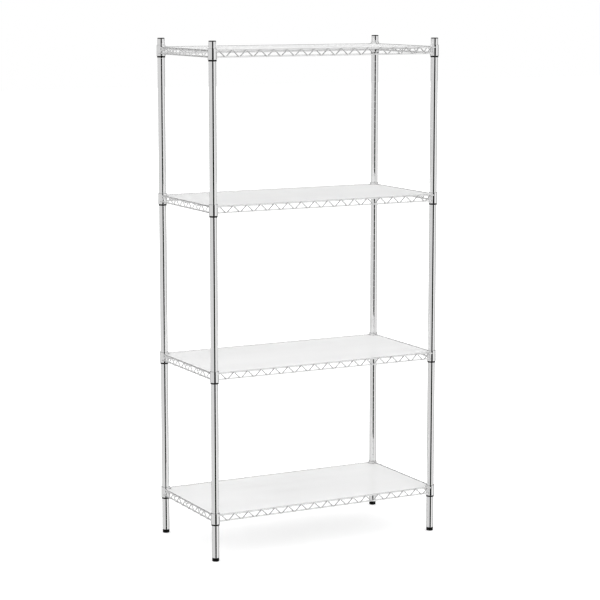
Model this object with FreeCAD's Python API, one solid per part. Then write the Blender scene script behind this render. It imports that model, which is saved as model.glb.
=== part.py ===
"""Four-tier wire shelving unit: chrome posts, lift-off wire shelves with liners, levelling feet.

Millimetres. +Z is up, +X runs along the shelves to the right, and -Y is the front.
The origin is on the floor, midway between the four posts.
"""

import FreeCAD, Part

import math
import os

Vec = FreeCAD.Vector
UP = Vec(0, 0, 1)
ALONG_X = Vec(1, 0, 0)
ALONG_Y = Vec(0, 1, 0)

# ---- Overall sizes -------------------------------------------------------------------------
POST_SPACING_X = 870.0  # between post centres, left to right
POST_SPACING_Y = 424.0  # between post centres, front to back
POST_LENGTH = 1781.0

# ---- Posts: tube with a ring groove every GROOVE_PITCH ---------------------------------------
POST_OD = 25.4
POST_WALL = 1.2
GROOVE_PITCH = 25.0
GROOVE_FIRST = 12.0  # post's lower end to its first groove
GROOVE_END_MARGIN = 10.0  # no groove nearer than this to the post's upper end
GROOVE_DEPTH = 0.4
GROOVE_WIDTH = 1.6
GROOVE_FLANK = 0.4  # width of each sloping side of a groove

# ---- Shelves: each is set by the groove that its sleeves grip --------------------------------
LOWEST_TIER_GROOVE = 5  # counted from the post's lowest groove, which is 0
GROOVES_ABOVE_TOP_TIER = 1
TIER_SHARES = (0.0, 0.31, 0.67, 1.0)  # of the way up from the lowest tier to the top one

# ---- Split sleeves -------------------------------------------------------------------------
SLEEVE_HEIGHT = 43.8
SLEEVE_BOTTOM_WALL = 1.65
SLEEVE_TOP_WALL = 1.1
SLEEVE_SPLIT = 0.8  # gap between the two halves
SLEEVE_BEAD_HEIGHT = 22.0  # sleeve's lower end to the bead inside it

# ---- Corner collars ------------------------------------------------------------------------
COLLAR_HEIGHT = 37.9
COLLAR_WALL = 1.5
COLLAR_RIM = 0.6  # small bevel round both outer rims
COLLAR_ABOVE_SLEEVE_FOOT = 5.6  # sleeve that shows under the collar

# ---- Shelf edge trusses: two rails and a zigzag wire outside them ----------------------------
RAIL_D = 5.5
ZIGZAG_D = 4.0
ZIGZAG_PITCH = 52.0  # nearest whole number of half waves fits between the collars
ZIGZAG_BEND_R = 5.0  # centreline radius of each bend
LOWER_RAIL_HEIGHT = 15.0  # rail centre above the sleeve's lower end
UPPER_RAIL_HEIGHT = 35.5
ZIGZAG_INSET = 1.0  # zigzag's outer side inside the collars' upper rims

# ---- Deck ----------------------------------------------------------------------------------
DECK_WIRE_D = 3.0
DECK_WIRE_PITCH = 26.0
CROSS_ROD_D = 5.0
CROSS_ROD_COUNT = 3

# ---- Liners: a plastic sheet on each deck, inside the upper rails ------------------------------
LINER_THICKNESS = 0.9
LINER_TO_RAIL = 1.0
LINER_NOTCH_GAP = 5.0  # between each corner notch and the collar's upper rim

# ---- Post caps -----------------------------------------------------------------------------
CAP_DISC_HEIGHT = 3.0
CAP_EDGE_R = 1.2
CAP_PLUG_DEPTH = 12.0
CAP_PLUG_WALL = 2.0

# ---- Levelling feet ------------------------------------------------------------------------
FOOT_BASE_INSET = 0.3  # base's side inside the post's side
FOOT_BASE_HEIGHT = 11.2
FOOT_BASE_EDGE_R = 2.0
FOOT_BASE_TOP_R = 0.8
STUD_D = 10.0
STUD_LENGTH = 36.0
STUD_TIP_BEVEL = 1.0
STUD_FLOOR = 3.5  # base material left under the stud
INSERT_FLANGE_INSET = 0.2
INSERT_FLANGE_HEIGHT = 1.5
INSERT_DEPTH = 20.0  # insert above its flange

# ---- Clearances ----------------------------------------------------------------------------
WELD_GAP = 0.05  # between wires that are welded where they cross
POST_TO_SLEEVE = 0.05
BEAD_TO_GROOVE = 0.1  # on each side of a sleeve's bead
SLEEVE_TO_COLLAR = 0.2
COLLAR_TO_DECK_WIRE = 0.5
LINER_TO_DECK_WIRE = 0.05
PLUG_TO_TUBE = 0.05
STUD_TO_THREAD = 0.05
FOOT_GAP = 0.3  # foot base to insert flange when screwed right in
EDGE_MATCH = 0.001  # how closely an edge's height and radius pick it out for a fillet

# ---- Worked out from the sizes above -------------------------------------------------------
POST_R = POST_OD / 2
TUBE_BORE_R = POST_R - POST_WALL
POST_FOOT_Z = FOOT_BASE_HEIGHT + FOOT_GAP + INSERT_FLANGE_HEIGHT
POST_TOP_Z = POST_FOOT_Z + POST_LENGTH
COLLAR_LOW = COLLAR_ABOVE_SLEEVE_FOOT
COLLAR_HIGH = COLLAR_LOW + COLLAR_HEIGHT
RAIL_R = RAIL_D / 2
CROSS_ROD_HEIGHT = UPPER_RAIL_HEIGHT - RAIL_R - WELD_GAP - CROSS_ROD_D / 2
DECK_WIRE_HEIGHT = CROSS_ROD_HEIGHT + CROSS_ROD_D / 2 + WELD_GAP + DECK_WIRE_D / 2
GROOVE_COUNT = 1 + int((POST_LENGTH - GROOVE_FIRST - GROOVE_END_MARGIN) / GROOVE_PITCH)
TOP_TIER_GROOVE = GROOVE_COUNT - 1 - GROOVES_ABOVE_TOP_TIER
CORNERS = {
    "front_left": (-1, -1),
    "front_right": (1, -1),
    "back_left": (-1, 1),
    "back_right": (1, 1),
}


def post_place(corner):
    """Post centre in plan, at floor level."""
    side_x, side_y = CORNERS[corner]
    return Vec(side_x * POST_SPACING_X / 2, side_y * POST_SPACING_Y / 2, 0)


def groove_z(number):
    """Height of a groove's middle above the floor."""
    return POST_FOOT_Z + GROOVE_FIRST + number * GROOVE_PITCH


def tier_z(tier):
    """Height of the lower end of a tier's sleeves. Tier 1 is the lowest shelf."""
    climb = TIER_SHARES[tier - 1] * (TOP_TIER_GROOVE - LOWEST_TIER_GROOVE)
    return groove_z(LOWEST_TIER_GROOVE + round(climb)) - SLEEVE_BEAD_HEIGHT


def sleeve_radius(height):
    """Outer radius of the tapered sleeve at a height above its lower end."""
    share = height / SLEEVE_HEIGHT
    wall = SLEEVE_BOTTOM_WALL + (SLEEVE_TOP_WALL - SLEEVE_BOTTOM_WALL) * share
    return POST_R + POST_TO_SLEEVE + wall


def collar_bore_radius(height):
    """Radius of the collar's tapered bore at a height above the sleeve's lower end."""
    return sleeve_radius(height) + SLEEVE_TO_COLLAR


COLLAR_R = collar_bore_radius(COLLAR_LOW) + COLLAR_WALL
COLLAR_TOP_R = collar_bore_radius(COLLAR_HIGH) + COLLAR_WALL
ZIGZAG_OUTSET = COLLAR_TOP_R - ZIGZAG_INSET - ZIGZAG_D / 2
RAIL_OUTSET = ZIGZAG_OUTSET - ZIGZAG_D / 2 - WELD_GAP - RAIL_R


def lathe(points):
    """Solid of revolution about Z from an outline of (radius, height) points."""
    corners = [Vec(radius, 0, height) for radius, height in points]
    outline = Part.makePolygon(corners + corners[:1])
    return Part.Face(outline).revolve(Vec(0, 0, 0), UP, 360)


def moved(shape, offset):
    """A copy of the shape, shifted by offset."""
    copy = shape.copy()
    copy.translate(offset)
    return copy


def mirrored(shape, normal):
    """A copy of the shape, mirrored in the plane through Z with this normal."""
    return shape.mirror(Vec(0, 0, 0), normal)


def rims_at(shape, height, radius):
    """The circular edges of a turned shape at this height and radius."""
    found = []
    for edge in shape.Edges:
        curve = edge.Curve
        if not isinstance(curve, Part.Circle):
            continue
        if abs(curve.Center.z - height) < EDGE_MATCH and abs(curve.Radius - radius) < EDGE_MATCH:
            found.append(edge)
    return found


def write(name, solids):
    """One STEP file for one named piece, or for one group of like solids."""
    shape = solids[0] if len(solids) == 1 else Part.makeCompound(solids)
    shape.exportStep("parts/" + name + ".step")


# ---- Posts and what plugs into them --------------------------------------------------------


def post():
    """Grooved tube, standing on z = 0."""
    outline = [(TUBE_BORE_R, 0), (POST_R, 0)]
    lip = GROOVE_WIDTH / 2
    floor = lip - GROOVE_FLANK
    for number in range(GROOVE_COUNT):
        height = GROOVE_FIRST + number * GROOVE_PITCH
        outline.append((POST_R, height - lip))
        outline.append((POST_R - GROOVE_DEPTH, height - floor))
        outline.append((POST_R - GROOVE_DEPTH, height + floor))
        outline.append((POST_R, height + lip))
    outline.append((POST_R, POST_LENGTH))
    outline.append((TUBE_BORE_R, POST_LENGTH))
    return lathe(outline)


def post_cap():
    """Disc with a hollow plug below it. z = 0 is the post's upper end."""
    plug_r = TUBE_BORE_R - PLUG_TO_TUBE
    hollow_r = plug_r - CAP_PLUG_WALL
    cap = lathe(
        [
            (0, CAP_DISC_HEIGHT),
            (0, 0),
            (hollow_r, 0),
            (hollow_r, -CAP_PLUG_DEPTH),
            (plug_r, -CAP_PLUG_DEPTH),
            (plug_r, 0),
            (POST_R, 0),
            (POST_R, CAP_DISC_HEIGHT),
        ]
    )
    return cap.makeFillet(CAP_EDGE_R, rims_at(cap, CAP_DISC_HEIGHT, POST_R))


def foot_insert():
    """Threaded plug in the post's lower end. z = 0 is the post's lower end."""
    plug_r = TUBE_BORE_R - PLUG_TO_TUBE
    thread_r = STUD_D / 2 + STUD_TO_THREAD
    flange_r = POST_R - INSERT_FLANGE_INSET
    return lathe(
        [
            (thread_r, -INSERT_FLANGE_HEIGHT),
            (flange_r, -INSERT_FLANGE_HEIGHT),
            (flange_r, 0),
            (plug_r, 0),
            (plug_r, INSERT_DEPTH),
            (thread_r, INSERT_DEPTH),
        ]
    )


def foot_stud():
    """Threaded stud, with its lower end in the foot's base."""
    radius = STUD_D / 2
    top = STUD_FLOOR + STUD_LENGTH
    return lathe(
        [
            (0, STUD_FLOOR),
            (radius, STUD_FLOOR),
            (radius, top - STUD_TIP_BEVEL),
            (radius - STUD_TIP_BEVEL, top),
            (0, top),
        ]
    )


def foot_base():
    """Round base with a blind hole for the stud, standing on the floor."""
    radius = POST_R - FOOT_BASE_INSET
    hole_r = STUD_D / 2 + STUD_TO_THREAD
    hole_floor = STUD_FLOOR - STUD_TO_THREAD
    base = lathe(
        [
            (0, 0),
            (radius, 0),
            (radius, FOOT_BASE_HEIGHT),
            (hole_r, FOOT_BASE_HEIGHT),
            (hole_r, hole_floor),
            (0, hole_floor),
        ]
    )
    base = base.makeFillet(FOOT_BASE_EDGE_R, rims_at(base, 0, radius))
    return base.makeFillet(FOOT_BASE_TOP_R, rims_at(base, FOOT_BASE_HEIGHT, radius))


# ---- Sleeves and collars -------------------------------------------------------------------


def sleeve_halves():
    """The two halves of one tapered sleeve round a post at the origin."""
    bore_r = POST_R + POST_TO_SLEEVE
    bead_r = bore_r - GROOVE_DEPTH
    bead_root = GROOVE_WIDTH / 2 - BEAD_TO_GROOVE
    bead_tip = bead_root - GROOVE_FLANK
    sleeve = lathe(
        [
            (bore_r, 0),
            (sleeve_radius(0), 0),
            (sleeve_radius(SLEEVE_HEIGHT), SLEEVE_HEIGHT),
            (bore_r, SLEEVE_HEIGHT),
            (bore_r, SLEEVE_BEAD_HEIGHT + bead_root),
            (bead_r, SLEEVE_BEAD_HEIGHT + bead_tip),
            (bead_r, SLEEVE_BEAD_HEIGHT - bead_tip),
            (bore_r, SLEEVE_BEAD_HEIGHT - bead_root),
        ]
    )
    reach = sleeve_radius(0)
    corner = Vec(-reach, -SLEEVE_SPLIT / 2, 0)
    saw_cut = Part.makeBox(2 * reach, SLEEVE_SPLIT, SLEEVE_HEIGHT, corner)
    return sleeve.cut(saw_cut).Solids


def collar_outline(growth):
    """Outer (radius, height) points of a collar, grown outwards by growth."""
    bottom_r = COLLAR_R + growth
    top_r = COLLAR_TOP_R + growth
    return [
        (bottom_r - COLLAR_RIM, COLLAR_LOW),
        (bottom_r, COLLAR_LOW + COLLAR_RIM),
        (top_r, COLLAR_HIGH - COLLAR_RIM),
        (top_r - COLLAR_RIM, COLLAR_HIGH),
    ]


def collar():
    """Tapered ring that drops over a sleeve, measured from the sleeve's lower end."""
    outline = collar_outline(0)
    outline.append((collar_bore_radius(COLLAR_HIGH), COLLAR_HIGH))
    outline.append((collar_bore_radius(COLLAR_LOW), COLLAR_LOW))
    return lathe(outline)


def collar_plugs():
    """Solid copies of a shelf's four collars, to trim wire ends to their outer faces."""
    plug = lathe([(0, COLLAR_LOW)] + collar_outline(WELD_GAP) + [(0, COLLAR_HIGH)])
    return Part.makeCompound([moved(plug, post_place(corner)) for corner in CORNERS])


# ---- Trusses and deck ----------------------------------------------------------------------


def half_waves(clear_length):
    """Whole number of zigzag half waves that fits a clear length best."""
    return max(2, round(clear_length / (ZIGZAG_PITCH / 2)))


def zigzag(post_spacing):
    """Zigzag wire along X in the plane y = 0, run on past both collars."""
    clear = post_spacing - 2 * COLLAR_R
    count = half_waves(clear)
    step = clear / count
    bend = ZIGZAG_BEND_R
    rise = UPPER_RAIL_HEIGHT - LOWER_RAIL_HEIGHT - 2 * bend
    lean = math.atan2(rise, step) + math.asin(2 * bend / math.hypot(step, rise))
    edges = []
    here = Vec(-post_spacing / 2, 0, UPPER_RAIL_HEIGHT)
    for number in range(count + 1):
        upward = 1 if number % 2 == 0 else -1
        apex_z = UPPER_RAIL_HEIGHT if upward == 1 else LOWER_RAIL_HEIGHT
        centre = Vec(-clear / 2 + number * step, 0, apex_z - upward * bend)
        apex = centre + Vec(0, 0, upward * bend)
        side = Vec(bend * math.sin(lean), 0, upward * bend * math.cos(lean))
        start = apex if number == 0 else centre + Vec(-side.x, 0, side.z)
        end = apex if number == count else centre + side
        from_angle = 0 if number == 0 else -lean
        to_angle = 0 if number == count else lean
        middle = (from_angle + to_angle) / 2
        reach = Vec(bend * math.sin(middle), 0, upward * bend * math.cos(middle))
        edges.append(Part.LineSegment(here, start).toShape())
        edges.append(Part.Arc(start, centre + reach, end).toShape())
        here = end
    last = Vec(post_spacing / 2, 0, here.z)
    edges.append(Part.LineSegment(here, last).toShape())
    path = Part.Wire(edges)
    circle = Part.Circle(Vec(-post_spacing / 2, 0, UPPER_RAIL_HEIGHT), ALONG_X, ZIGZAG_D / 2)
    section = Part.Wire(circle.toShape())
    return path.makePipeShell([section], True, False)


def truss(post_spacing, cross_spacing, turn, plugs):
    """Upper rail, lower rail and zigzag along one shelf edge, trimmed to the collars.

    It is laid out along X on the -Y side and turned about Z by turn degrees.
    """
    rail_y = -cross_spacing / 2 - RAIL_OUTSET
    pieces = []
    for height in (UPPER_RAIL_HEIGHT, LOWER_RAIL_HEIGHT):
        start = Vec(-post_spacing / 2, rail_y, height)
        pieces.append(Part.makeCylinder(RAIL_R, post_spacing, start, ALONG_X))
    zigzag_y = -cross_spacing / 2 - ZIGZAG_OUTSET
    pieces.append(moved(zigzag(post_spacing), Vec(0, zigzag_y, 0)))
    trimmed = []
    for piece in pieces:
        piece.rotate(Vec(0, 0, 0), UP, turn)
        solids = piece.cut(plugs).Solids
        trimmed.append(max(solids, key=lambda solid: solid.Volume))
    return trimmed


def deck_wires():
    """Wires over the cross rods, from the front upper rail to the back one."""
    outermost = POST_SPACING_X / 2 - COLLAR_R - COLLAR_TO_DECK_WIRE - DECK_WIRE_D / 2
    each_side = int(outermost / DECK_WIRE_PITCH)
    reach_y = POST_SPACING_Y / 2 + RAIL_OUTSET - RAIL_R - WELD_GAP
    wires = []
    for number in range(-each_side, each_side + 1):
        start = Vec(number * DECK_WIRE_PITCH, -reach_y, DECK_WIRE_HEIGHT)
        wires.append(Part.makeCylinder(DECK_WIRE_D / 2, 2 * reach_y, start, ALONG_Y))
    return wires


def cross_rods():
    """Lengthwise rods under the deck wires and under both side rails."""
    reach_x = POST_SPACING_X / 2 + RAIL_OUTSET + RAIL_R
    gap = POST_SPACING_Y / (CROSS_ROD_COUNT + 1)
    rods = []
    for number in range(1, CROSS_ROD_COUNT + 1):
        start = Vec(-reach_x, -POST_SPACING_Y / 2 + number * gap, CROSS_ROD_HEIGHT)
        rods.append(Part.makeCylinder(CROSS_ROD_D / 2, 2 * reach_x, start, ALONG_X))
    return rods


def liner():
    """Flat sheet lying on the deck wires, notched round the collars."""
    bottom = DECK_WIRE_HEIGHT + DECK_WIRE_D / 2 + LINER_TO_DECK_WIRE
    half_x = POST_SPACING_X / 2 + RAIL_OUTSET - RAIL_R - LINER_TO_RAIL
    half_y = POST_SPACING_Y / 2 + RAIL_OUTSET - RAIL_R - LINER_TO_RAIL
    sheet = Part.makeBox(2 * half_x, 2 * half_y, LINER_THICKNESS, Vec(-half_x, -half_y, bottom))
    notch_r = COLLAR_TOP_R + LINER_NOTCH_GAP
    for corner in CORNERS:
        place = post_place(corner) + Vec(0, 0, bottom)
        sheet = sheet.cut(Part.makeCylinder(notch_r, LINER_THICKNESS, place))
    return sheet.Solids


def shelf_pieces():
    """Every group of solids in one shelf, measured from its sleeves' lower ends."""
    plugs = collar_plugs()
    front = truss(POST_SPACING_X, POST_SPACING_Y, 0, plugs)
    right = truss(POST_SPACING_Y, POST_SPACING_X, 90, plugs)
    one_collar = collar()
    return {
        "collars": [moved(one_collar, post_place(corner)) for corner in CORNERS],
        "front_truss": front,
        "back_truss": [mirrored(solid, ALONG_Y) for solid in front],
        "left_truss": [mirrored(solid, ALONG_X) for solid in right],
        "right_truss": right,
        "deck_wires": deck_wires(),
        "cross_rods": cross_rods(),
        "liner": liner(),
    }


# ---- The whole unit ------------------------------------------------------------------------


def write_posts():
    """Posts with their caps and levelling feet, one set at each corner."""
    lower_end = Vec(0, 0, POST_FOOT_Z)
    upper_end = Vec(0, 0, POST_TOP_Z)
    column = {
        "post": moved(post(), lower_end),
        "post_cap": moved(post_cap(), upper_end),
        "foot_insert": moved(foot_insert(), lower_end),
        "foot_stud": foot_stud(),
        "foot_base": foot_base(),
    }
    for corner in CORNERS:
        for name, shape in column.items():
            write(name + "_" + corner, [moved(shape, post_place(corner))])


def write_tiers():
    """Sleeves and shelf at every tier."""
    halves = sleeve_halves()
    pieces = shelf_pieces()
    for tier in range(1, len(TIER_SHARES) + 1):
        lift = Vec(0, 0, tier_z(tier))
        for side in ("left", "right"):
            sleeves = []
            for corner in ("front_" + side, "back_" + side):
                sleeves += [moved(half, post_place(corner) + lift) for half in halves]
            write("sleeves_" + str(tier) + "_" + side, sleeves)
        for name, solids in pieces.items():
            write("shelf_" + str(tier) + "_" + name, [moved(solid, lift) for solid in solids])


def main():
    os.makedirs("parts", exist_ok=True)
    write_posts()
    write_tiers()


main()
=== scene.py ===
"""Looks of the four-tier chrome wire shelving unit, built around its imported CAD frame.

Metres. +Z is up, +X runs along the shelves to the right, and -Y is the front.
"""

import math

import bmesh
import bpy
from mathutils import Matrix, Vector


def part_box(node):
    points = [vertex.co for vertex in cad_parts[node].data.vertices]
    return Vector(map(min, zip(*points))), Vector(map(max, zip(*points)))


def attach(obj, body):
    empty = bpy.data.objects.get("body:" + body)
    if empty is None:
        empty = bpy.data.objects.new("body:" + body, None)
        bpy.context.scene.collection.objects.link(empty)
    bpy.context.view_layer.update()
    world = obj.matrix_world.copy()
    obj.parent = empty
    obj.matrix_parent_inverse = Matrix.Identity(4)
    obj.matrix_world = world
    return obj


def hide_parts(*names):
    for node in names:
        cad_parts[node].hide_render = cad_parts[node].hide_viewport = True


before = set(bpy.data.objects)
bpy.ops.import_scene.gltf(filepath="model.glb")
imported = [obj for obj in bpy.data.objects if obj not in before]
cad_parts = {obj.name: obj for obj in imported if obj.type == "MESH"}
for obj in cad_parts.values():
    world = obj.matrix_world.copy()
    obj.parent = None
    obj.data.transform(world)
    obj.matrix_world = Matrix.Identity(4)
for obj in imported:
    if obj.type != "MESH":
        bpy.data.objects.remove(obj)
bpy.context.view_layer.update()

MM = 0.001
UP = Vector((0, 0, 1))
ALONG_X = Vector((1, 0, 0))
ALONG_Y = Vector((0, 1, 0))
CORNERS = {
    "front_left": (-1, -1),
    "front_right": (1, -1),
    "back_left": (-1, 1),
    "back_right": (1, 1),
}
TIERS = (1, 2, 3, 4)
MADE_AT = "front_left"  # corner that each post piece's mesh is made for, before it is copied

# ---- Sizes that the CAD boxes don't give -----------------------------------------------------
POST_WALL = 1.2 * MM
GROOVE_PITCH = 25 * MM
GROOVE_FIRST = 12 * MM  # post's lower end to its first groove
GROOVE_END_MARGIN = 10 * MM  # last groove to the post's upper end, at least
GROOVE_DEPTH = 0.4 * MM
GROOVE_FLOOR_HALF = 0.35 * MM
GROOVE_MOUTH_HALF = 0.85 * MM
PLUG_CLEARANCE = 0.05 * MM  # round a cap's plug or a foot insert, in the post's bore
COLLAR_WALL = 1.5 * MM
COLLAR_TAPER = 0.49 * MM  # how much narrower the top of a collar is
SLEEVE_TAPER = 0.55 * MM
SLEEVE_SPLIT = 0.8 * MM
SLEEVE_BEAD_HEIGHT = 22 * MM
SLEEVE_BEAD_ROOT_HALF = 0.7 * MM
SLEEVE_BEAD_TIP_HALF = 0.35 * MM
SLEEVE_BEAD_SHARE = 0.9  # of the groove's depth
POST_TO_SLEEVE = 0.05 * MM
RAIL_R = 2.75 * MM
ZIGZAG_R = 2 * MM
ZIGZAG_PITCH = 52 * MM
ZIGZAG_BEND_R = 5 * MM
DECK_WIRE_PITCH = 26 * MM
CROSS_ROD_COUNT = 3
LINER_NOTCH_GAP = 5 * MM
CAP_PLUG_WALL = 2 * MM
CAP_DISC_HEIGHT = 3 * MM
INSERT_FLANGE_HEIGHT = 1.5 * MM
THREAD_PITCH = 1.5 * MM
THREAD_DEPTH = 0.45 * MM
STUD_HOLE_CLEARANCE = 0.05 * MM

# ---- Detail that only the looks have ---------------------------------------------------------
# A pair in a profile is in mm, in from the outer radius and along from the end, unless its
# comment says otherwise.
SAME = 0.01 * MM  # closer than this, two radii or heights count as one
TUBE_SIDES = 56
CAP_SIDES = 72
STUD_SIDES = 32
COLLAR_SIDES = 72
SLEEVE_STEPS = 30  # round each half of a sleeve
WIRE_SIDES = 14

TUBE_EDGE = 0.3 * MM
TUBE_END_BAND = 1 * MM  # plain tube beside each cut end
GROOVE_BAND_HALF = 1.15 * MM  # ring of points on the plain tube beside a groove

CAP_TOP = (  # from the middle outwards: share of the radius, and mm below the highest point
    (0, 0.05),
    (0.3, 0.02),
    (0.6, 0.1),
    (0.66, 0.3),
    (0.71, 0.3),
    (0.76, 0.03),
    (0.84, 0),
    (0.93, 0.17),
    (0.98, 0.55),
    (1, 1.1),
)
CAP_LOWER_EDGE = 0.15 * MM
CAP_PLUG_BEVEL = 0.8 * MM
CAP_PLUG_BEVEL_HEIGHT = 1 * MM
CAP_RIBS = 12
CAP_RIB_DEPTH = 0.25 * MM

INSERT_EDGE = 0.4 * MM
INSERT_FLANGE_EDGE = 0.2 * MM
INSERT_BEVEL = 1 * MM
INSERT_BEVEL_HEIGHT = 1.2 * MM

THREAD_ROWS = 8  # rows of points in one pitch
THREAD_RUN_OUT = 2 * MM
THREAD_CREST = 1.25  # above 1, so that the crest is flat
THREAD_SLOPE = 2.9
STUD_TIP = ((0.7, 0.5), (1.4, 0))

BASE_RECESS = 0.5 * MM  # hollow under the base
BASE_RECESS_R = (0.55, 0.6)  # shares of the radius, where the hollow ends
BASE_CORNER_R = 2 * MM
BASE_CORNER_DEGREES = (22, 45, 68)
BASE_UPPER_EDGE = ((0, 0.9), (0.25, 0.3), (0.9, 0))
BASE_HOLE_EDGE = 0.4 * MM
FLUTES = 14
FLUTE_DEPTH = 0.3 * MM
FLUTE_FOOT = 3 * MM  # base's lower face to the flutes
FLUTE_HEAD = 2 * MM  # base's upper face to the flutes
SIDES_PER_FLUTE = 6

SLEEVE_EDGE = 0.2 * MM
SLEEVE_FOOT = ((0.4, 0), (0.1, 0.15), (0, 0.5), (0.02, 2))
SLEEVE_SHOULDER = 0.1 * MM  # how much narrower a sleeve is where its taper starts
SLEEVE_SHOULDER_SHARE = 0.1  # of the sleeve's height
SLEEVE_TOP_EDGE = 0.3 * MM
SLEEVE_TOP_EDGE_HEIGHT = 0.4 * MM

COLLAR_EDGE = 0.3 * MM
RIM_HEIGHT = 1.8 * MM  # rolled rim at each end of a collar
RIM_STEP = 0.2 * MM
RIM_EDGE = ((0.5, 0), (0.12, 0.2), (0, 0.7))
RIM_ROLL = 0.5 * MM  # height over which a rim drops to the waist
LOW_RIM_FALL = 0.04 * MM  # how far each rim has narrowed where that drop starts
HIGH_RIM_FALL = 0.02 * MM
WAIST_BAND = 0.8 * MM
LOW_WAIST_STEP = 0.05 * MM
SEAM_DEPTH = 0.22 * MM  # down the inner side of each collar
SEAM_BAND = 0.6 * MM  # from the bore, the part of the wall that the seam leaves alone

# Tumbled end of a wire: distance from the end and radius there, both in wire radii.
WIRE_TIP = ((0, 0.5), (0.1, 0.78), (0.4, 0.97), (0.8, 1), (1.6, 1))
WELD_FLARE = 0.7 * MM  # spread of a weld where a wire meets a collar
WELD_NECK = 0.8 * MM  # back from the collar, where most of the flare is gone
WELD_NECK_SHARE = 0.35  # of the flare that is left there
WELD_TOE = 1.8 * MM
WELD_TOE_SPREAD = 1.04  # of the wire's radius
WELD_REACH = 3.2 * MM
WELD_SINK = 0.4 * MM
END_SINK = 0.6 * MM  # a deck wire's end into the rail that it is welded to
BEND_STEPS = 10
BEAD_SIDES = 8
BEAD_LEVELS = (-0.9, -0.45, 0, 0.45, 0.9)  # heights of a weld bead's rings, as shares
# Half sizes of the weld beads: along, across and up.
ZIGZAG_ON_RAIL = (3.4 * MM, 1.1 * MM, 1.9 * MM)
ROD_UNDER_RAIL = (2 * MM, 2.6 * MM, 0.9 * MM)
WIRE_ON_ROD = (2.3 * MM, 1.9 * MM, 0.8 * MM)
WIRE_ON_RAIL = (1.1 * MM, 2.4 * MM, 2 * MM)
WIRE_ON_RAIL_LIFT = 0.3 * MM

LINER_NOTCH_STEPS = 18
LINER_SOFT_EDGE = 0.15 * MM


# ---- Surfaces --------------------------------------------------------------------------------


class Shell:
    """The closed surfaces of one piece, collected before its mesh is made."""

    def __init__(self):
        self.points = []
        self.faces = []

    def add(self, points, faces):
        start = len(self.points)
        self.points.extend(points)
        self.faces.extend(tuple(start + i for i in face) for face in faces)

    def mesh(self, name, sharp_degrees):
        """One mesh with its normals outwards, smooth except where it bends sharply."""
        mesh = bpy.data.meshes.new(name)
        mesh.from_pydata(self.points, [], self.faces)
        work = bmesh.new()
        work.from_mesh(mesh)
        bmesh.ops.recalc_face_normals(work, faces=work.faces)
        for face in work.faces:
            face.smooth = True
        work.to_mesh(mesh)
        work.free()
        mesh.set_sharp_from_angle(angle=math.radians(sharp_degrees))
        return mesh


def place_piece(pattern, node, ending, body, finish, mirror=None):
    """Puts a copy of a pattern where its node is, on its body, and hides that node.

    pattern is (mesh, node it was made for) and finish is (slot, material). mirror is the normal
    of a plane through the origin.
    """
    base, made_for = pattern
    slot, material = finish
    mesh = base.copy()
    mesh.name = node + ending
    made_low, made_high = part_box(made_for)
    low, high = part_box(node)
    middle = (made_low + made_high) / 2
    if mirror:
        mesh.transform(Matrix.Scale(-1, 4, mirror))
        mesh.flip_normals()
        middle = middle - 2 * mirror * middle.dot(mirror)
    mesh.transform(Matrix.Translation((low + high) / 2 - middle))
    mesh.materials.append(material)
    piece = bpy.data.objects.new(node + ending, mesh)
    bpy.context.scene.collection.objects.link(piece)
    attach(piece, body)
    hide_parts(node)


def turned(shell, outline, place, sides, relief=None):
    """Turns a closed outline of (radius, height) about the vertical through place.

    relief(radius, height, angle) gives the radius of each point, where the surface isn't round.
    """
    points = []
    rings = []
    for radius, height in outline:
        first = len(points)
        if radius == 0:
            points.append(place + UP * height)
            rings.append([first] * sides)
            continue
        for number in range(sides):
            angle = 2 * math.pi * number / sides
            here = relief(radius, height, angle) if relief else radius
            points.append(place + Vector((here * math.cos(angle), here * math.sin(angle), height)))
        rings.append(list(range(first, first + sides)))
    faces = []
    for low, high in zip(rings, rings[1:] + rings[:1]):
        for number in range(sides):
            after = (number + 1) % sides
            corners = [low[number], low[after], high[after], high[number]]
            face = [c for i, c in enumerate(corners) if c not in corners[:i]]
            if len(face) > 2:
                faces.append(face)
    shell.add(points, faces)


def turned_part(shell, outline, place, from_angle, to_angle, steps):
    """Turns a closed outline through part of a circle and closes both ends."""
    points = []
    for number in range(steps + 1):
        angle = from_angle + (to_angle - from_angle) * number / steps
        for radius, height in outline:
            spot = Vector((radius * math.cos(angle), radius * math.sin(angle), height))
            points.append(place + spot)
    size = len(outline)
    faces = [tuple(range(size)), tuple(steps * size + i for i in reversed(range(size)))]
    for number in range(steps):
        for i in range(size):
            j = (i + 1) % size
            low = number * size
            faces.append((low + i, low + j, low + size + j, low + size + i))
    shell.add(points, faces)


def tube_rings(shell, rings):
    """Joins rings of points into one closed tube with a fan at each end."""
    sides = len(rings[0])
    points = [point for ring in rings for point in ring]
    faces = []
    for number in range(len(rings) - 1):
        low = number * sides
        for i in range(sides):
            j = (i + 1) % sides
            faces.append((low + i, low + j, low + sides + j, low + sides + i))
    for ring, first in ((rings[0], 0), (rings[-1], (len(rings) - 1) * sides)):
        centre = len(points)
        points.append(sum(ring, Vector()) / sides)
        for i in range(sides):
            faces.append((first + i, first + (i + 1) % sides, centre))
    shell.add(points, faces)


def ring_round(centre, tangent, side_axis, radius):
    """Points round a wire. side_axis is a unit vector square to the tangent."""
    other = tangent.cross(side_axis)
    angles = [2 * math.pi * number / WIRE_SIDES for number in range(WIRE_SIDES)]
    return [centre + (side_axis * math.cos(a) + other * math.sin(a)) * radius for a in angles]


def straight_wire(shell, start, end, radius):
    """Straight level wire with tumbled ends."""
    tangent = (end - start).normalized()
    rings = []
    for along, share in WIRE_TIP:
        spot = start + tangent * radius * along
        rings.append(ring_round(spot, tangent, UP, radius * share))
    for along, share in reversed(WIRE_TIP):
        spot = end - tangent * radius * along
        rings.append(ring_round(spot, tangent, UP, radius * share))
    tube_rings(shell, rings)


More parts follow.
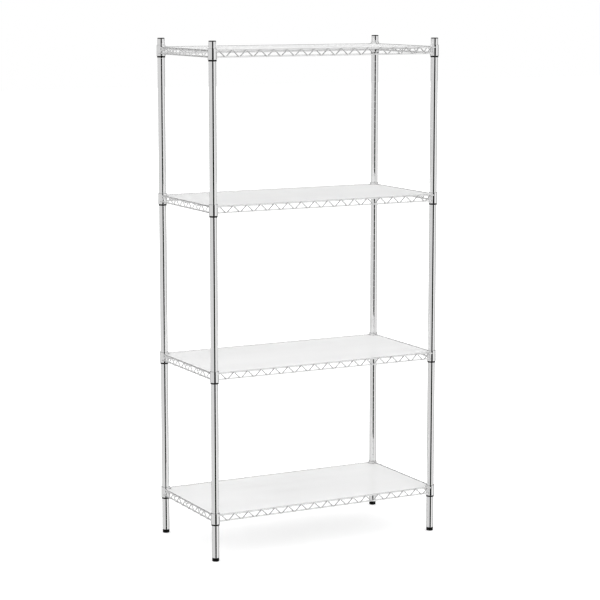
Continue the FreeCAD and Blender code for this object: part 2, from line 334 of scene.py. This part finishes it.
def weld_bead(shell, centre, along, half_sizes):
    """Flattened bead of metal pressed out at a weld. half_sizes are along, across and up."""
    across = UP.cross(along)
    length, width, height = half_sizes
    rings = []
    for lift in BEAD_LEVELS:
        spread = math.sqrt(1 - lift * lift)
        ring = []
        for number in range(BEAD_SIDES):
            angle = 2 * math.pi * (number + 0.5) / BEAD_SIDES
            flat = along * length * math.cos(angle) + across * width * math.sin(angle)
            ring.append(centre + flat * spread + UP * height * lift)
        rings.append(ring)
    tube_rings(shell, rings)


# ---- Materials -------------------------------------------------------------------------------
# Noise seldom leaves this band, so grades run over it.
NOISE_LOW = 0.3
NOISE_HIGH = 0.7


def node_material(name, base, metallic, specular=None):
    """Principled material with its constants on the shader's own sockets."""
    material = bpy.data.materials.new(name)
    material.use_nodes = True
    shader = material.node_tree.nodes["Principled BSDF"]
    shader.inputs["Base Color"].default_value = (*base, 1)
    shader.inputs["Metallic"].default_value = metallic
    if specular is not None:
        shader.inputs["Specular IOR Level"].default_value = specular
    return material, shader


def noise(material, scale, detail, stretch=(1, 1, 1)):
    """Noise in the object's own frame. stretch below 1 draws it out along that axis."""
    nodes = material.node_tree.nodes
    links = material.node_tree.links
    place = nodes.new("ShaderNodeTexCoord")
    mapping = nodes.new("ShaderNodeMapping")
    mapping.inputs["Scale"].default_value = stretch
    texture = nodes.new("ShaderNodeTexNoise")
    texture.inputs["Scale"].default_value = scale
    texture.inputs["Detail"].default_value = detail
    links.new(place.outputs["Object"], mapping.inputs["Vector"])
    links.new(mapping.outputs["Vector"], texture.inputs["Vector"])
    return texture.outputs["Fac"]


def vary(material, source, target, low, high):
    """Sends noise to a shader input as a value from low to high."""
    nodes = material.node_tree.nodes
    links = material.node_tree.links
    remap = nodes.new("ShaderNodeMapRange")
    remap.inputs["From Min"].default_value = NOISE_LOW
    remap.inputs["From Max"].default_value = NOISE_HIGH
    remap.inputs["To Min"].default_value = low
    remap.inputs["To Max"].default_value = high
    links.new(source, remap.inputs["Value"])
    links.new(remap.outputs["Result"], target)


def tint(material, source, shader, dark, light):
    """Sends noise to the base colour as a grade between two colours."""
    nodes = material.node_tree.nodes
    ramp = nodes.new("ShaderNodeValToRGB")
    ramp.color_ramp.elements[0].position = NOISE_LOW
    ramp.color_ramp.elements[0].color = (*dark, 1)
    ramp.color_ramp.elements[1].position = NOISE_HIGH
    ramp.color_ramp.elements[1].color = (*light, 1)
    material.node_tree.links.new(source, ramp.inputs["Fac"])
    material.node_tree.links.new(ramp.outputs["Color"], shader.inputs["Base Color"])


def bump(material, source, shader, distance, strength):
    """Sends noise to the shader's normal as bumps. distance is their height."""
    node = material.node_tree.nodes.new("ShaderNodeBump")
    node.inputs["Distance"].default_value = distance
    node.inputs["Strength"].default_value = strength
    material.node_tree.links.new(source, node.inputs["Height"])
    material.node_tree.links.new(node.outputs["Normal"], shader.inputs["Normal"])


def grey(level):
    return (level, level, level)


def chrome(name, tones, roughness, ripple, stretch=(1, 1, 1)):
    """Chrome plating: faint clouding in tone and gloss, and a slight ripple."""
    material, shader = node_material(name, grey(tones[1]), metallic=1)
    tint(material, noise(material, 35, 4, stretch), shader, grey(tones[0]), grey(tones[1]))
    vary(material, noise(material, 160, 5, stretch), shader.inputs["Roughness"], *roughness)
    bump(material, noise(material, 220, 2, stretch), shader, distance=0.02 * MM, strength=ripple)
    return material


def black_plastic(name):
    """Satin moulded plastic with a fine spark-eroded grain."""
    material, shader = node_material(name, grey(0.004), metallic=0, specular=0.06)
    tint(material, noise(material, 120, 4), shader, grey(0.003), grey(0.006))
    vary(material, noise(material, 300, 3), shader.inputs["Roughness"], 0.36, 0.5)
    bump(material, noise(material, 2600, 2), shader, distance=0.05 * MM, strength=0.35)
    return material


def zinc_plate(name):
    """Dull bright zinc on a machined thread."""
    material, shader = node_material(name, (0.62, 0.63, 0.65), metallic=1)
    tint(material, noise(material, 250, 4), shader, (0.5, 0.51, 0.54), (0.68, 0.69, 0.7))
    vary(material, noise(material, 500, 3), shader.inputs["Roughness"], 0.26, 0.4)
    bump(material, noise(material, 900, 3), shader, distance=0.03 * MM, strength=0.3)
    return material


def frosted_sheet(name):
    """Translucent sheet plastic: cloudy, with faint drawing lines and a fine frosted grain."""
    material, shader = node_material(name, grey(0.905), metallic=0, specular=0.35)
    tint(material, noise(material, 9, 3, (0.3, 1, 1)), shader, grey(0.885), grey(0.92))
    vary(material, noise(material, 60, 4, (0.1, 1, 1)), shader.inputs["Roughness"], 0.42, 0.58)
    bump(material, noise(material, 1500, 3), shader, distance=0.03 * MM, strength=0.4)
    shader.inputs["Alpha"].default_value = 0.66
    return material


def look(slot, maker, **settings):
    """A material slot of the record, with the material that this file gives it."""
    return slot, maker(slot, **settings)


ALONG_POST = (1, 1, 0.25)  # noise drawn out along the post
TUBE = look(
    "chrome_tube", chrome, tones=(0.85, 0.88), roughness=(0.035, 0.06), ripple=0.1, stretch=ALONG_POST
)
WIRE = look("chrome_wire", chrome, tones=(0.84, 0.88), roughness=(0.07, 0.13), ripple=0.16)
COLLAR = look("chrome_collar", chrome, tones=(0.84, 0.88), roughness=(0.04, 0.075), ripple=0.1)
PLASTIC = look("black_plastic", black_plastic)
LINER = look("frosted_plastic", frosted_sheet)
ZINC = look("zinc_steel", zinc_plate)


# ---- Posts, caps and feet --------------------------------------------------------------------


def axis_of(node):
    """Plan place of a node's middle at floor level, its radius, and its lowest and highest z."""
    low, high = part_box(node)
    middle = (low + high) / 2
    return Vector((middle.x, middle.y, 0)), (high.x - low.x) / 2, low.z, high.z


def post():
    """Tube with a rolled ring groove at every step."""
    node = "post_" + MADE_AT
    place, radius, low, high = axis_of(node)
    length = high - low
    bore = radius - POST_WALL
    half_groove = ((GROOVE_BAND_HALF, 0), (GROOVE_MOUTH_HALF, 0), (GROOVE_FLOOR_HALF, GROOVE_DEPTH))
    outline = [
        (bore, TUBE_EDGE),
        (bore + TUBE_EDGE, 0),
        (radius - TUBE_EDGE, 0),
        (radius, TUBE_EDGE),
        (radius, TUBE_END_BAND),
    ]
    for number in range(1 + int((length - GROOVE_FIRST - GROOVE_END_MARGIN) / GROOVE_PITCH)):
        height = GROOVE_FIRST + number * GROOVE_PITCH
        outline += [(radius - depth, height - half) for half, depth in half_groove]
        outline += [(radius - depth, height + half) for half, depth in reversed(half_groove)]
    outline += [
        (radius, length - TUBE_END_BAND),
        (radius, length - TUBE_EDGE),
        (radius - TUBE_EDGE, length),
        (bore + TUBE_EDGE, length),
        (bore, length - TUBE_EDGE),
        (bore, length - TUBE_END_BAND),
        (bore, TUBE_END_BAND),
    ]
    shell = Shell()
    turned(shell, outline, place + UP * low, TUBE_SIDES)
    return shell.mesh("post", sharp_degrees=60), node


def post_cap():
    """Pressed-in cap: a low dome with a moulded ring, and a ribbed hollow plug below."""
    node = "post_cap_" + MADE_AT
    place, radius, low, high = axis_of(node)
    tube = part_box("post_" + MADE_AT)
    plug_r = (tube[1].x - tube[0].x) / 2 - POST_WALL - PLUG_CLEARANCE
    hollow_r = plug_r - CAP_PLUG_WALL
    disc = high - CAP_DISC_HEIGHT
    outline = [(radius * share, high - depth * MM) for share, depth in CAP_TOP]
    outline += [
        (radius, disc + CAP_LOWER_EDGE),
        (radius - CAP_LOWER_EDGE, disc),
        (plug_r, disc),
        (plug_r, low + CAP_PLUG_BEVEL_HEIGHT),
        (plug_r - CAP_PLUG_BEVEL, low),
        (hollow_r, low),
        (hollow_r, disc),
        (0, disc),
    ]

    def ribs(here, height, angle):
        ribbed = height < disc - SAME and here > hollow_r + SAME
        return here - CAP_RIB_DEPTH * (1 - math.cos(CAP_RIBS * angle)) / 2 if ribbed else here

    shell = Shell()
    turned(shell, outline, place, CAP_SIDES, ribs)
    return shell.mesh("post_cap", sharp_degrees=35), node


def foot_insert():
    """Threaded plug in the post's lower end."""
    node = "foot_insert_" + MADE_AT
    place, flange_r, low, high = axis_of(node)
    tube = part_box("post_" + MADE_AT)
    plug_r = (tube[1].x - tube[0].x) / 2 - POST_WALL - PLUG_CLEARANCE
    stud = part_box("foot_stud_" + MADE_AT)
    thread_r = (stud[1].x - stud[0].x) / 2 + STUD_HOLE_CLEARANCE
    flange = low + INSERT_FLANGE_HEIGHT
    outline = [
        (thread_r + INSERT_EDGE, low),
        (flange_r - INSERT_EDGE, low),
        (flange_r, low + INSERT_EDGE),
        (flange_r, flange - INSERT_FLANGE_EDGE),
        (flange_r - INSERT_FLANGE_EDGE, flange),
        (plug_r, flange),
        (plug_r, high - INSERT_BEVEL_HEIGHT),
        (plug_r - INSERT_BEVEL, high),
        (thread_r, high),
        (thread_r, low + INSERT_EDGE),
    ]
    shell = Shell()
    turned(shell, outline, place, TUBE_SIDES)
    return shell.mesh("foot_insert", sharp_degrees=35), node


def foot_stud():
    """Machine screw with a helical thread and a bevelled tip."""
    node = "foot_stud_" + MADE_AT
    place, radius, low, high = axis_of(node)
    root = radius - THREAD_DEPTH
    rows = int((high - low - THREAD_RUN_OUT) / THREAD_PITCH * THREAD_ROWS)
    outline = [(0, low)]
    outline += [(radius, low + row * THREAD_PITCH / THREAD_ROWS) for row in range(rows + 1)]
    outline += [(radius - inset * MM, high - down * MM) for inset, down in STUD_TIP]
    outline.append((0, high))

    def thread(here, height, angle):
        if here < radius:
            return here
        turn = (height / THREAD_PITCH - angle / (2 * math.pi)) % 1
        crest = min(1, max(0, THREAD_CREST - THREAD_SLOPE * abs(turn - 0.5)))
        return root + THREAD_DEPTH * crest

    shell = Shell()
    turned(shell, outline, place, STUD_SIDES, thread)
    return shell.mesh("foot_stud", sharp_degrees=70), node


def foot_base():
    """Round levelling foot: fluted grip, rounded lower edge and a blind hole for the stud."""
    node = "foot_base_" + MADE_AT
    place, radius, low, high = axis_of(node)
    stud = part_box("foot_stud_" + MADE_AT)
    hole_r = (stud[1].x - stud[0].x) / 2 + STUD_HOLE_CLEARANCE
    hole_floor = stud[0].z - STUD_HOLE_CLEARANCE
    edge_r = BASE_CORNER_R
    outline = [
        (0, low + BASE_RECESS),
        (radius * BASE_RECESS_R[0], low + BASE_RECESS),
        (radius * BASE_RECESS_R[1], low),
        (radius - edge_r, low),
    ]
    for degrees in BASE_CORNER_DEGREES:
        bend = math.radians(degrees)
        inset = edge_r * (1 - math.sin(bend))
        outline.append((radius - inset, low + edge_r * (1 - math.cos(bend))))
    outline += [(radius, low + edge_r), (radius, low + FLUTE_FOOT), (radius, high - FLUTE_HEAD)]
    outline += [(radius - inset * MM, high - down * MM) for inset, down in BASE_UPPER_EDGE]
    outline += [
        (hole_r + BASE_HOLE_EDGE, high),
        (hole_r, high - BASE_HOLE_EDGE),
        (hole_r, hole_floor),
        (0, hole_floor),
    ]

    def flutes(here, height, angle):
        at_grip = low + FLUTE_FOOT - SAME < height < high - FLUTE_HEAD + SAME
        fluted = here > radius - SAME and at_grip
        return here - FLUTE_DEPTH * (1 - math.cos(FLUTES * angle)) / 2 if fluted else here

    shell = Shell()
    turned(shell, outline, place, FLUTES * SIDES_PER_FLUTE, flutes)
    return shell.mesh("foot_base", sharp_degrees=35), node


# ---- Sleeves and collars ---------------------------------------------------------------------


def post_places():
    """Plan place of each post, and the posts' radius."""
    places = {}
    for corner in CORNERS:
        places[corner], radius = axis_of("post_" + corner)[:2]
    return places, radius


POSTS, POST_R = post_places()


def sleeves():
    """Two tapered halves round each left post, each with a bead in the post's groove."""
    node = "sleeves_1_left"
    low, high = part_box(node)
    height = high.z - low.z
    bore = POST_R + POST_TO_SLEEVE
    bottom_r = high.x - POSTS["front_left"].x
    top_r = bottom_r - SLEEVE_TAPER
    bead = bore - GROOVE_DEPTH * SLEEVE_BEAD_SHARE
    outline = [(bore, SLEEVE_EDGE), (bore + SLEEVE_EDGE, 0)]
    outline += [(bottom_r - inset * MM, up * MM) for inset, up in SLEEVE_FOOT]
    outline += [
        (bottom_r - SLEEVE_SHOULDER, height * SLEEVE_SHOULDER_SHARE),
        (top_r, height - SLEEVE_TOP_EDGE_HEIGHT),
        (top_r - SLEEVE_TOP_EDGE, height),
        (bore + SLEEVE_EDGE, height),
        (bore, height - SLEEVE_EDGE),
        (bore, SLEEVE_BEAD_HEIGHT + SLEEVE_BEAD_ROOT_HALF),
        (bead, SLEEVE_BEAD_HEIGHT + SLEEVE_BEAD_TIP_HALF),
        (bead, SLEEVE_BEAD_HEIGHT - SLEEVE_BEAD_TIP_HALF),
        (bore, SLEEVE_BEAD_HEIGHT - SLEEVE_BEAD_ROOT_HALF),
    ]
    gap = math.asin(SLEEVE_SPLIT / 2 / bore)
    shell = Shell()
    for corner in ("front_left", "back_left"):
        place = POSTS[corner] + UP * low.z
        for start in (0, math.pi):
            turned_part(shell, outline, place, start + gap, start + math.pi - gap, SLEEVE_STEPS)
    return shell.mesh("sleeves", sharp_degrees=35), node


def collar_sizes():
    """Heights of tier 1's collars' lower and upper rims, and outer radii there."""
    low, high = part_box("shelf_1_collars")
    middle = POSTS["back_right"]
    bottom_r = min(high.x - middle.x, high.y - middle.y)
    return low.z, high.z, bottom_r, bottom_r - COLLAR_TAPER


def collar_radius(z):
    """Outer radius of tier 1's collars at a height."""
    low, high, bottom_r, top_r = collar_sizes()
    share = min(1, max(0, (z - low) / (high - low)))
    return bottom_r + (top_r - bottom_r) * share


def collars():
    """Tapered pressed rings with rolled rims and a closed seam on the inner side."""
    low, high, bottom_r, top_r = collar_sizes()
    height = high - low
    bottom_bore = bottom_r - COLLAR_WALL
    top_bore = top_r - COLLAR_WALL
    waist_low = bottom_r - RIM_STEP - LOW_WAIST_STEP
    waist_high = top_r - RIM_STEP
    outline = [(bottom_bore + COLLAR_EDGE, 0)]
    outline += [(bottom_r - inset * MM, up * MM) for inset, up in RIM_EDGE]
    outline += [
        (bottom_r - LOW_RIM_FALL, RIM_HEIGHT - RIM_ROLL),
        (waist_low, RIM_HEIGHT),
        (waist_low, RIM_HEIGHT + WAIST_BAND),
        (waist_high, height - RIM_HEIGHT - WAIST_BAND),
        (waist_high, height - RIM_HEIGHT),
        (top_r - HIGH_RIM_FALL, height - RIM_HEIGHT + RIM_ROLL),
    ]
    outline += [(top_r - inset * MM, height - down * MM) for inset, down in reversed(RIM_EDGE)]
    outline += [
        (top_bore + COLLAR_EDGE, height),
        (top_bore, height - COLLAR_EDGE),
        (bottom_bore, COLLAR_EDGE),
    ]
    shell = Shell()
    for corner, (side_x, side_y) in CORNERS.items():
        seam = math.atan2(-side_y, -side_x) % (2 * math.pi)
        column = round(seam / (2 * math.pi) * COLLAR_SIDES)

        def seamed(here, z, angle):
            outside = here > bottom_bore + SEAM_BAND
            at_seam = round(angle / (2 * math.pi) * COLLAR_SIDES) == column
            return here - SEAM_DEPTH if outside and at_seam else here

        turned(shell, outline, POSTS[corner] + UP * low, COLLAR_SIDES, seamed)
    return shell.mesh("collars", sharp_degrees=50), "shelf_1_collars"


# ---- Trusses ---------------------------------------------------------------------------------


def coped_ring(ring, along, outward, post, spread_share, centre, back_off):
    """Slides a ring's points along the wire until they lie on the outer face of a post's collar.

    The ring is first spread about its centre by spread_share. back_off is how far short of the
    face its points stop. outward is +1 where the collar is ahead.
    """
    done = []
    across = UP.cross(along)
    for point in ring:
        spread = centre + (point - centre) * spread_share
        side = spread.dot(across) - post.dot(across)
        face = math.sqrt(max(0, (collar_radius(spread.z) - WELD_SINK) ** 2 - side * side))
        stop = post.dot(along) - outward * (face + back_off)
        done.append(spread + along * (stop - spread.dot(along)))
    return done


def truss_wire(shell, path, side_axis, radius, along, first_post, last_post):
    """Wire along a path between two collars, welded to both with a small flare."""
    rings = []
    count = len(path)
    for number, spot in enumerate(path):
        before = path[max(0, number - 1)]
        after = path[min(count - 1, number + 1)]
        tangent = (after - before).normalized()
        rings.append(ring_round(spot, tangent, side_axis, radius))
    flare = (  # back from the collar, and how much the ring is spread there
        (0, 1 + WELD_FLARE / radius),
        (WELD_NECK, 1 + WELD_NECK_SHARE * WELD_FLARE / radius),
        (WELD_TOE, WELD_TOE_SPREAD),
        (WELD_REACH, 1),
    )
    start_ring = ring_round(path[0], along, side_axis, radius)
    end_ring = ring_round(path[-1], along, side_axis, radius)
    head = [
        coped_ring(start_ring, along, -1, first_post, scale, path[0], back_off)
        for back_off, scale in flare
    ]
    tail = [
        coped_ring(end_ring, along, 1, last_post, scale, path[-1], back_off)
        for back_off, scale in reversed(flare)
    ]
    tube_rings(shell, head + rings[1:-1] + tail)


def zigzag_path(middle, along, spacing, clear, low_z, high_z):
    """Centreline of the zigzag: half waves with round bends, level where it meets the collars."""
    count = max(2, round(clear / (ZIGZAG_PITCH / 2)))
    step = clear / count
    bend = ZIGZAG_BEND_R
    rise = high_z - low_z - 2 * bend
    lean = math.atan2(rise, step) + math.asin(2 * bend / math.hypot(step, rise))
    path = [middle - along * spacing / 2 + UP * high_z]
    apexes = []
    for number in range(count + 1):
        upward = 1 if number % 2 == 0 else -1
        apex_z = high_z if upward == 1 else low_z
        centre = middle + along * (number * step - clear / 2) + UP * (apex_z - upward * bend)
        first = 0 if number == 0 else -lean
        last = 0 if number == count else lean
        pieces = BEND_STEPS if 0 < number < count else BEND_STEPS // 2
        for part in range(pieces + 1):
            angle = first + (last - first) * part / pieces
            path.append(
                centre + along * bend * math.sin(angle) + UP * upward * bend * math.cos(angle)
            )
        apexes.append(centre + UP * upward * bend)
    path.append(middle + along * spacing / 2 + UP * path[-1].z)
    return path, apexes


def truss(side, along, from_corner, to_corner):
    """Two rails and the zigzag outside them, with a weld bead at every crossing."""
    node = "shelf_1_" + side + "_truss"
    low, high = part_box(node)
    across = UP.cross(along)
    outward = 1 if (low + high).dot(across) > 0 else -1
    reach = max(low.dot(across) * outward, high.dot(across) * outward)
    inner = min(low.dot(across) * outward, high.dot(across) * outward)
    zigzag_at = across * outward * (reach - ZIGZAG_R)
    rail_at = across * outward * (inner + RAIL_R)
    start = POSTS[from_corner]
    end = POSTS[to_corner]
    spacing = (end - start).dot(along)
    low_z = low.z + RAIL_R
    high_z = high.z - RAIL_R
    shell = Shell()
    for z in (low_z, high_z):
        ends = [rail_at + along * start.dot(along), rail_at + along * end.dot(along)]
        path = [spot + UP * z for spot in ends]
        truss_wire(shell, path, UP, RAIL_R, along, start, end)
    clear = spacing - 2 * collar_sizes()[2]
    path, apexes = zigzag_path(zigzag_at, along, spacing, clear, low_z, high_z)
    truss_wire(shell, path, across, ZIGZAG_R, along, start, end)
    contact = across * outward * (reach - 2 * ZIGZAG_R)
    for apex in apexes[1:-1]:
        spot = contact + along * apex.dot(along) + UP * apex.z
        weld_bead(shell, spot, along, ZIGZAG_ON_RAIL)
    return shell.mesh(side + "_truss", sharp_degrees=45), node


# ---- Deck ------------------------------------------------------------------------------------


def cross_rods():
    """Three rods under the deck wires and side rails, with their places in depth."""
    node = "shelf_1_cross_rods"
    low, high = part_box(node)
    radius = (high.z - low.z) / 2
    z = (low.z + high.z) / 2
    step = (high.y - low.y - 2 * radius) / (CROSS_ROD_COUNT - 1)
    places = [low.y + radius + number * step for number in range(CROSS_ROD_COUNT)]
    shell = Shell()
    for y in places:
        straight_wire(shell, Vector((low.x, y, z)), Vector((high.x, y, z)), radius)
        for x in (low.x + RAIL_R, high.x - RAIL_R):
            weld_bead(shell, Vector((x, y, high.z)), ALONG_X, ROD_UNDER_RAIL)
    return (shell.mesh("cross_rods", sharp_degrees=45), node), places


def deck_wires(rods_y):
    """Front-to-back wires on the rods, with a weld bead there and where they meet the rails."""
    node = "shelf_1_deck_wires"
    low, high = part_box(node)
    radius = (high.z - low.z) / 2
    z = (low.z + high.z) / 2
    count = round((high.x - low.x - 2 * radius) / DECK_WIRE_PITCH) + 1
    shell = Shell()
    for number in range(count):
        x = low.x + radius + number * DECK_WIRE_PITCH
        start = Vector((x, low.y - END_SINK, z))
        end = Vector((x, high.y + END_SINK, z))
        straight_wire(shell, start, end, radius)
        for y in rods_y:
            weld_bead(shell, Vector((x, y, low.z)), ALONG_Y, WIRE_ON_ROD)
        for y in (low.y, high.y):
            spot = Vector((x, y, z + WIRE_ON_RAIL_LIFT))
            weld_bead(shell, spot, ALONG_Y, WIRE_ON_RAIL)
    return shell.mesh("deck_wires", sharp_degrees=45), node


def sheet_outline(half_x, half_y, notch_r, height):
    """Outline of a sheet with a round notch at each corner, anticlockwise from above."""
    points = []
    for corner in ("back_right", "back_left", "front_left", "front_right"):
        side_x, side_y = CORNERS[corner]
        place = POSTS[corner] + UP * height
        at_side = -math.acos((half_x - abs(place.x)) / notch_r)
        at_back = -math.pi - math.asin((half_y - abs(place.y)) / notch_r)
        arc = []
        for number in range(LINER_NOTCH_STEPS + 1):
            angle = at_side + (at_back - at_side) * number / LINER_NOTCH_STEPS
            arc.append(
                place + Vector((side_x * math.cos(angle), side_y * math.sin(angle), 0)) * notch_r
            )
        points += arc if side_x == side_y else arc[::-1]
    return points


def liner():
    """Plastic sheet on the deck, cut round the collars, with softened edges."""
    node = "shelf_1_liner"
    low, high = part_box(node)
    notch_r = collar_sizes()[3] + LINER_NOTCH_GAP
    soft = LINER_SOFT_EDGE
    points = []
    for inset, height in ((soft, low.z), (0, low.z + soft), (0, high.z - soft), (soft, high.z)):
        points += sheet_outline(high.x - inset, high.y - inset, notch_r + inset, height)
    size = len(points) // 4
    faces = [tuple(reversed(range(size))), tuple(range(3 * size, 4 * size))]
    for level in range(3):
        for i in range(size):
            j = (i + 1) % size
            first = level * size
            faces.append((first + i, first + j, first + size + j, first + size + i))
    shell = Shell()
    shell.add(points, faces)
    return shell.mesh("liner", sharp_degrees=30), node


def build():
    """Makes each pattern once and puts a copy wherever the frame has that part."""
    columns = (
        (post(), "post_", "_tube", "frame", TUBE),
        (post_cap(), "post_cap_", "_moulding", "frame", PLASTIC),
        (foot_insert(), "foot_insert_", "_moulding", "frame", PLASTIC),
        (foot_stud(), "foot_stud_", "_screw", "foot_screw_", ZINC),
        (foot_base(), "foot_base_", "_moulding", "foot_pad_", PLASTIC),
    )
    for corner in CORNERS:
        for pattern, start, ending, body, finish in columns:
            at = body if body == "frame" else body + corner
            place_piece(pattern, start + corner, ending, at, finish)
    halves = sleeves()
    front = truss("front", ALONG_X, "front_left", "front_right")
    right = truss("right", ALONG_Y, "front_right", "back_right")
    rods, rods_y = cross_rods()
    layers = (
        (collars(), "_collars", "_rings", COLLAR, None),
        (front, "_front_truss", "_wires", WIRE, None),
        (front, "_back_truss", "_wires", WIRE, ALONG_Y),
        (right, "_left_truss", "_wires", WIRE, ALONG_X),
        (right, "_right_truss", "_wires", WIRE, None),
        (rods, "_cross_rods", "_rods", WIRE, None),
        (deck_wires(rods_y), "_deck_wires", "_grid", WIRE, None),
        (liner(), "_liner", "_sheet", LINER, None),
    )
    for tier in TIERS:
        for side in ("left", "right"):
            node = "sleeves_%d_%s" % (tier, side)
            place_piece(halves, node, "_mouldings", "frame", PLASTIC)
        shelf = "shelf_%d" % tier
        for pattern, group, ending, finish, mirror in layers:
            place_piece(pattern, shelf + group, ending, shelf, finish, mirror)


build()


# ---- Studio ----------------------------------------------------------------------------------
CAMERA_PLACE = (-3.3366, -6.3635, 1.979)
CAMERA_TURN = -27.725  # degrees about Z, from looking along +Y
CAMERA_PITCH = 8.864  # degrees downwards
CAMERA_LENS = 120.97  # millimetres, on a sensor of CAMERA_SENSOR
CAMERA_SENSOR = 36
CAMERA_SEES_TO = 200
FLOOR_HALF = 30.0
FLOOR_GLOW = 0.205  # light of the floor's own, to stay near the background's white
FILL_LEVEL = 1.3  # even light from all round. The backdrop that the camera sees is 1.
# What chrome mirrors: soft boxes with dark gaps between them, as levels by bearing. A bearing is
# in degrees from the one that the camera stands at, towards its right hand. The room stays where
# it is when another view is rendered.
MIRRORED = (
    (-180, 0.02),
    (-166, 0.02),
    (-163, 0.8),
    (-147, 0.74),
    (-145, 0.1),
    (-133, 0.1),
    (-131, 0.74),
    (-106, 0.78),
    (-54, 0.72),
    (-20, 0.77),
    (-9, 0.77),
    (-7, 0.004),
    (37, 0.004),
    (39, 0.95),
    (72, 0.94),
    (97, 0.66),
    (131, 0.62),
    (133, 0.1),
    (145, 0.1),
    (147, 0.64),
    (163, 0.8),
    (166, 0.02),
    (180, 0.02),
)


def camera():
    """Plain camera, without shift or depth of field."""
    data = bpy.data.cameras.new("camera")
    data.sensor_width = CAMERA_SENSOR
    data.lens = CAMERA_LENS
    data.clip_end = CAMERA_SEES_TO
    place = bpy.data.objects.new("camera", data)
    place.location = CAMERA_PLACE
    place.rotation_euler = (math.radians(90 - CAMERA_PITCH), 0, math.radians(CAMERA_TURN))
    bpy.context.scene.collection.objects.link(place)
    bpy.context.scene.camera = place


def floor():
    """White floor under the unit. It is left out of mirror reflections."""
    material, shader = node_material("studio_floor", grey(0.9), metallic=0, specular=0)
    tint(material, noise(material, 2, 2), shader, grey(0.895), grey(0.905))
    shader.inputs["Roughness"].default_value = 0.9
    shader.inputs["Emission Color"].default_value = (1, 1, 1, 1)
    shader.inputs["Emission Strength"].default_value = FLOOR_GLOW
    half = FLOOR_HALF
    mesh = bpy.data.meshes.new("studio_floor")
    corners = [(-half, -half, 0), (half, -half, 0), (half, half, 0), (-half, half, 0)]
    mesh.from_pydata(corners, [], [(0, 1, 2, 3)])
    mesh.materials.append(material)
    plane = bpy.data.objects.new("studio_floor", mesh)
    plane.visible_glossy = False
    bpy.context.scene.collection.objects.link(plane)


def background(nodes, level):
    """Even white at a level."""
    node = nodes.new("ShaderNodeBackground")
    node.inputs["Color"].default_value = (1, 1, 1, 1)
    node.inputs["Strength"].default_value = level
    return node


def mirrored_room(nodes, links):
    """The room that chrome mirrors, by the bearing of each reflected direction."""
    turn = math.radians(-CAMERA_TURN)
    toward = (-math.sin(turn), -math.cos(turn), 0)
    right = (math.cos(turn), -math.sin(turn), 0)
    direction = nodes.new("ShaderNodeTexCoord").outputs["Generated"]
    bearing = nodes.new("ShaderNodeMath")
    bearing.operation = "ARCTAN2"
    for number, axis in enumerate((right, toward)):
        dot = nodes.new("ShaderNodeVectorMath")
        dot.operation = "DOT_PRODUCT"
        dot.inputs[1].default_value = axis
        links.new(direction, dot.inputs[0])
        links.new(dot.outputs["Value"], bearing.inputs[number])
    share = nodes.new("ShaderNodeMapRange")
    share.inputs["From Min"].default_value = -math.pi
    share.inputs["From Max"].default_value = math.pi
    links.new(bearing.outputs["Value"], share.inputs["Value"])
    ramp = nodes.new("ShaderNodeValToRGB")
    stops = ramp.color_ramp.elements
    stops[0].position = 0
    stops[1].position = 1
    for degrees, _ in MIRRORED[1:-1]:
        stops.new((degrees + 180) / 360)
    for stop, (_, level) in zip(stops, MIRRORED):
        stop.color = (*grey(level), 1)
    links.new(share.outputs["Result"], ramp.inputs["Fac"])
    room = nodes.new("ShaderNodeBackground")
    links.new(ramp.outputs["Color"], room.inputs["Color"])
    return room


def studio():
    """White backdrop, even light from all round, and the room that chrome mirrors."""
    world = bpy.data.worlds.new("studio")
    bpy.context.scene.world = world
    world.use_nodes = True
    nodes = world.node_tree.nodes
    links = world.node_tree.links
    nodes.clear()
    path = nodes.new("ShaderNodeLightPath")
    by_gloss = nodes.new("ShaderNodeMixShader")
    links.new(path.outputs["Is Glossy Ray"], by_gloss.inputs["Fac"])
    links.new(background(nodes, FILL_LEVEL).outputs["Background"], by_gloss.inputs[1])
    links.new(mirrored_room(nodes, links).outputs["Background"], by_gloss.inputs[2])
    by_camera = nodes.new("ShaderNodeMixShader")
    links.new(path.outputs["Is Camera Ray"], by_camera.inputs["Fac"])
    links.new(by_gloss.outputs["Shader"], by_camera.inputs[1])
    links.new(background(nodes, 1).outputs["Background"], by_camera.inputs[2])
    output = nodes.new("ShaderNodeOutputWorld")
    links.new(by_camera.outputs["Shader"], output.inputs["Surface"])


camera()
floor()
studio()
bpy.context.scene.view_settings.view_transform = "Standard"
